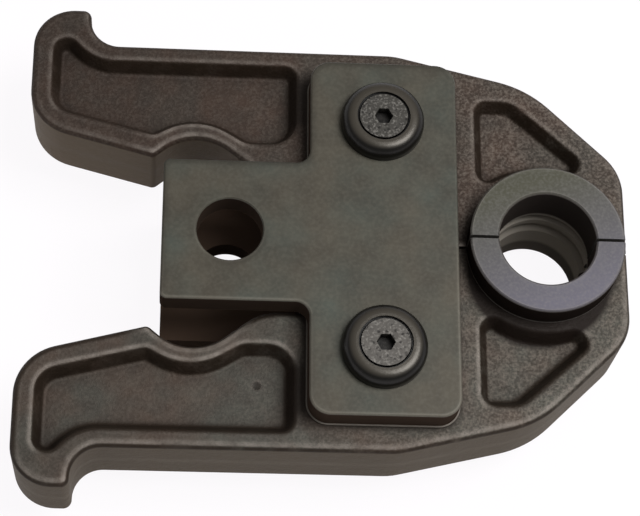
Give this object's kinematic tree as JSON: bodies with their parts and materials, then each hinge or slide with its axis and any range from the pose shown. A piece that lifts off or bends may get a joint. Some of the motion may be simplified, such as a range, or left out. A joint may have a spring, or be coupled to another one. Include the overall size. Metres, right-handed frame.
{
  "type": "pipe press jaw",
  "caption": "Press jaw set for a pipe press tool: hooked forged levers with half-round press dies pivot between T-shaped side plates, sprung closed and opened at the rear arms.",
  "frame": {"origin": "centre of the tool bolt hole, at mid thickness between the side plates", "axes": "+X towards the press mouth, +Y towards the left lever, +Z out of the top side plate along the tool bolt"},
  "size_m": [0.1308, 0.1106, 0.0396],
  "materials": {
    "forged_steel": "dark rough forged skin",
    "plate_steel": "smooth, blackened",
    "die_steel": "machined, satin",
    "pin_steel": "ground, greased",
    "washer_steel": "black oxide",
    "screw_steel": "matt, worn oxide",
    "spring_steel": "oiled wire"
  },
  "bodies": {
    "frame": {"top_side_plate": "plate_steel", "bottom_side_plate": "plate_steel", "left_pivot_pin": "pin_steel", "right_pivot_pin": "pin_steel", "top_left_cup_washer": "washer_steel", "top_left_pivot_screw": "screw_steel", "top_right_cup_washer": "washer_steel", "top_right_pivot_screw": "screw_steel", "bottom_left_cup_washer": "washer_steel", "bottom_left_pivot_screw": "screw_steel", "bottom_right_cup_washer": "washer_steel", "bottom_right_pivot_screw": "screw_steel", "top_closing_spring": "spring_steel", "bottom_closing_spring": "spring_steel"},
    "left_jaw": {"left_jaw_lever": "forged_steel", "left_press_die": "die_steel", "left_die_dowel": "pin_steel"},
    "right_jaw": {"right_jaw_lever": "forged_steel", "right_press_die": "die_steel", "right_die_dowel": "pin_steel"}
  },
  "joints": [
    {"name": "left_lever_hinge", "type": "hinge", "parent": "frame", "child": "left_jaw", "pos_m": [0.0327, 0.026, 0], "axis": [0, 0, 1], "range_deg": [0, 20], "stiffness_Nm_per_rad": 1.6, "springref_deg": -17.19, "deforming": ["top_closing_spring", "bottom_closing_spring"]},
    {"name": "right_lever_hinge", "type": "hinge", "parent": "frame", "child": "right_jaw", "pos_m": [0.0327, -0.026, 0], "axis": [0, 0, -1], "range_deg": [0, 20], "stiffness_Nm_per_rad": 1.6, "springref_deg": -17.19, "deforming": ["top_closing_spring", "bottom_closing_spring"]}
  ]
}
